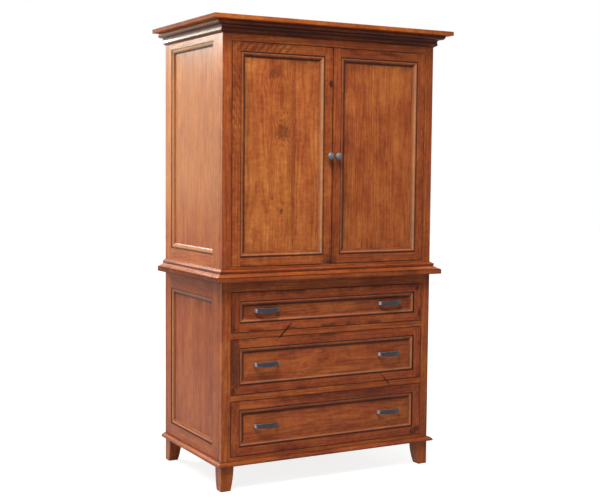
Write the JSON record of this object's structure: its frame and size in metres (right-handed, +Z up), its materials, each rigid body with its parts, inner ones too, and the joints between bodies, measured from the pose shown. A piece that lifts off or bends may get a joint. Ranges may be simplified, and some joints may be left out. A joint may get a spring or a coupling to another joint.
{
  "type": "computer armoire",
  "caption": "Tall wooden computer armoire: a cabinet with paired inset panel doors and a crown moulding on a chest of inset drawers with bar pulls, raised on tapered feet.",
  "frame": {"origin": "on the floor under the middle of the overall box", "axes": "+X to the right of a person facing the doors, +Y to the back, +Z up"},
  "size_m": [1.18, 0.681, 1.981],
  "materials": {
    "cherry_frame": "stained and glazed cherry, satin lacquer",
    "cherry_panel": "stained cherry panel, satin lacquer",
    "cherry_board": "stained cherry board, satin lacquer",
    "cherry_moulding": "stained and glazed cherry moulding, satin lacquer",
    "carcass_ply": "plywood with a thin stain",
    "drawer_maple": "clear lacquered maple",
    "gunmetal": "dark gunmetal, softly polished",
    "pewter": "brushed pewter",
    "zinc_steel": "bright zinc plate",
    "hinge_brass": "plain brass",
    "catch_plastic": "brown plastic"
  },
  "bodies": {
    "case": {"chest_left_side_frame": "cherry_frame", "chest_right_side_frame": "cherry_frame", "chest_side_panels": "cherry_panel", "chest_face_frame": "cherry_frame", "chest_back": "carcass_ply", "chest_floor": "carcass_ply", "chest_top": "cherry_moulding", "base_moulding": "cherry_moulding", "feet": "cherry_moulding", "slide_packers": "carcass_ply", "slide_case_members": "zinc_steel", "upper_left_side_frame": "cherry_frame", "upper_right_side_frame": "cherry_frame", "upper_side_panels": "cherry_panel", "upper_face_frame": "cherry_frame", "upper_back": "carcass_ply", "upper_deck": "cherry_board", "upper_top_board": "carcass_ply", "crown_moulding": "cherry_moulding", "top_slab": "cherry_board", "waist_trim": "cherry_moulding", "shelf": "cherry_board", "shelf_pins": "zinc_steel", "door_catch": "catch_plastic", "hinge_frame_leaves": "hinge_brass"},
    "left_door": {"left_door_frame": "cherry_frame", "left_door_panel": "cherry_panel", "left_door_hinge_leaves": "hinge_brass", "left_door_knob": "pewter", "left_door_strike": "zinc_steel"},
    "right_door": {"right_door_frame": "cherry_frame", "right_door_panel": "cherry_panel", "right_door_hinge_leaves": "hinge_brass", "right_door_knob": "pewter", "right_door_strike": "zinc_steel"},
    "bottom_drawer": {"bottom_drawer_front_frame": "cherry_frame", "bottom_drawer_front_panel": "cherry_panel", "bottom_drawer_box": "drawer_maple", "bottom_drawer_bottom": "carcass_ply", "bottom_drawer_pulls": "gunmetal", "bottom_drawer_pull_screws": "zinc_steel", "bottom_drawer_slide_members": "zinc_steel"},
    "middle_drawer": {"middle_drawer_front_frame": "cherry_frame", "middle_drawer_front_panel": "cherry_panel", "middle_drawer_box": "drawer_maple", "middle_drawer_bottom": "carcass_ply", "middle_drawer_pulls": "gunmetal", "middle_drawer_pull_screws": "zinc_steel", "middle_drawer_slide_members": "zinc_steel"},
    "top_drawer": {"top_drawer_front_frame": "cherry_frame", "top_drawer_front_panel": "cherry_panel", "top_drawer_box": "drawer_maple", "top_drawer_bottom": "carcass_ply", "top_drawer_pulls": "gunmetal", "top_drawer_pull_screws": "zinc_steel", "top_drawer_slide_members": "zinc_steel"},
    "bottom_slide": {"bottom_slide_middle_members": "zinc_steel"},
    "middle_slide": {"middle_slide_middle_members": "zinc_steel"},
    "top_slide": {"top_slide_middle_members": "zinc_steel"}
  },
  "joints": [
    {"name": "left_door_hinge", "type": "hinge", "parent": "case", "child": "left_door", "pos_m": [-0.4745, -0.2705, 1.415], "axis": [0, 0, -1], "range_deg": [0, 110]},
    {"name": "right_door_hinge", "type": "hinge", "parent": "case", "child": "right_door", "pos_m": [0.4745, -0.2705, 1.415], "axis": [0, 0, 1], "range_deg": [0, 110]},
    {"name": "bottom_drawer_slide", "type": "slide", "parent": "case", "child": "bottom_drawer", "axis": [0, -1, 0], "range_m": [0, 0.48]},
    {"name": "middle_drawer_slide", "type": "slide", "parent": "case", "child": "middle_drawer", "axis": [0, -1, 0], "range_m": [0, 0.48]},
    {"name": "top_drawer_slide", "type": "slide", "parent": "case", "child": "top_drawer", "axis": [0, -1, 0], "range_m": [0, 0.48]},
    {"name": "bottom_slide_run", "type": "slide", "parent": "case", "child": "bottom_slide", "axis": [0, -1, 0], "range_m": [0, 0.24]},
    {"name": "middle_slide_run", "type": "slide", "parent": "case", "child": "middle_slide", "axis": [0, -1, 0], "range_m": [0, 0.24]},
    {"name": "top_slide_run", "type": "slide", "parent": "case", "child": "top_slide", "axis": [0, -1, 0], "range_m": [0, 0.24]}
  ],
  "couplings": [
    {"joint": "bottom_slide_run", "follows": "bottom_drawer_slide", "ratio": 0.5},
    {"joint": "middle_slide_run", "follows": "middle_drawer_slide", "ratio": 0.5},
    {"joint": "top_slide_run", "follows": "top_drawer_slide", "ratio": 0.5}
  ]
}
